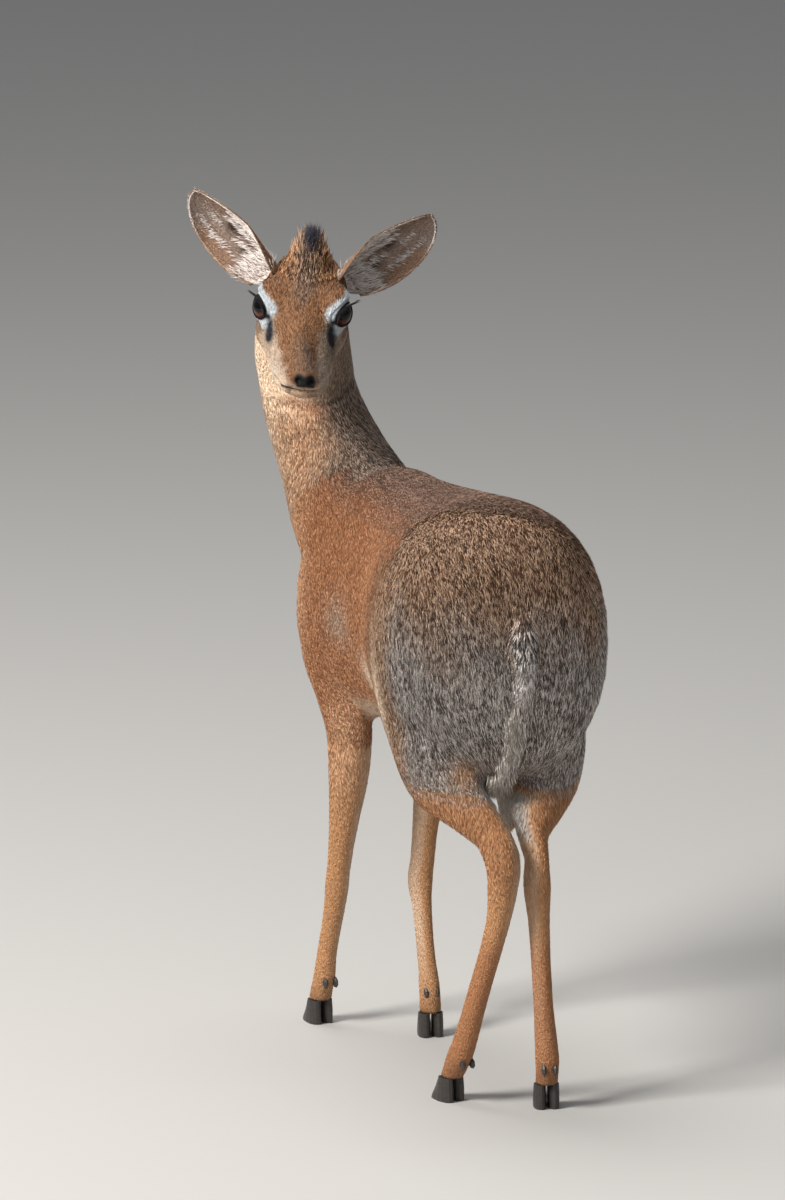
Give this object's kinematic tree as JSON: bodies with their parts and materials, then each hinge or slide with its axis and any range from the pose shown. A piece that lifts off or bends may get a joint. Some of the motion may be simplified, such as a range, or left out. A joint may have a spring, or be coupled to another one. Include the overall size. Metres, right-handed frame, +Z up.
{
  "type": "dik-dik",
  "caption": "Life-size still model of a female dik-dik, a dwarf antelope, standing on slender legs and looking back over its left shoulder with ears spread and crest raised.",
  "frame": {"origin": "on the floor under the middle of the bounding box", "axes": "+Z up, the animal's body faces -Y, +X is the animal's left"},
  "size_m": [0.2216, 0.3957, 0.5999],
  "materials": {
    "body_coat": "dense short coat, grizzled grey-brown over rufous",
    "face_coat": "short sleek coat, rufous orange with pale muzzle",
    "leg_coat": "very short sleek coat, tan orange",
    "grey_hair": "grizzled grey hair",
    "crest_hair": "upright brush of longer dark-tipped hair",
    "ear": "thin skin with short fine hair",
    "eye": "wet, glossy, dark brown",
    "hoof_horn": "smooth dark horn, satin"
  },
  "bodies": {
    "root": {"torso": "body_coat", "neck": "body_coat", "head": "face_coat", "crest": "crest_hair", "tail": "grey_hair", "ear_left": "ear", "ear_right": "ear", "eye_left": "eye", "eye_right": "eye", "foreleg_left": "leg_coat", "foreleg_right": "leg_coat", "hindleg_left": "leg_coat", "hindleg_right": "leg_coat", "hoof_fore_left_outer": "hoof_horn", "dewclaw_fore_left_outer": "hoof_horn", "hoof_fore_left_inner": "hoof_horn", "dewclaw_fore_left_inner": "hoof_horn", "hoof_fore_right_outer": "hoof_horn", "dewclaw_fore_right_outer": "hoof_horn", "hoof_fore_right_inner": "hoof_horn", "dewclaw_fore_right_inner": "hoof_horn", "hoof_hind_left_outer": "hoof_horn", "dewclaw_hind_left_outer": "hoof_horn", "hoof_hind_left_inner": "hoof_horn", "dewclaw_hind_left_inner": "hoof_horn", "hoof_hind_right_outer": "hoof_horn", "dewclaw_hind_right_outer": "hoof_horn", "hoof_hind_right_inner": "hoof_horn", "dewclaw_hind_right_inner": "hoof_horn"}
  },
  "joints": []
}
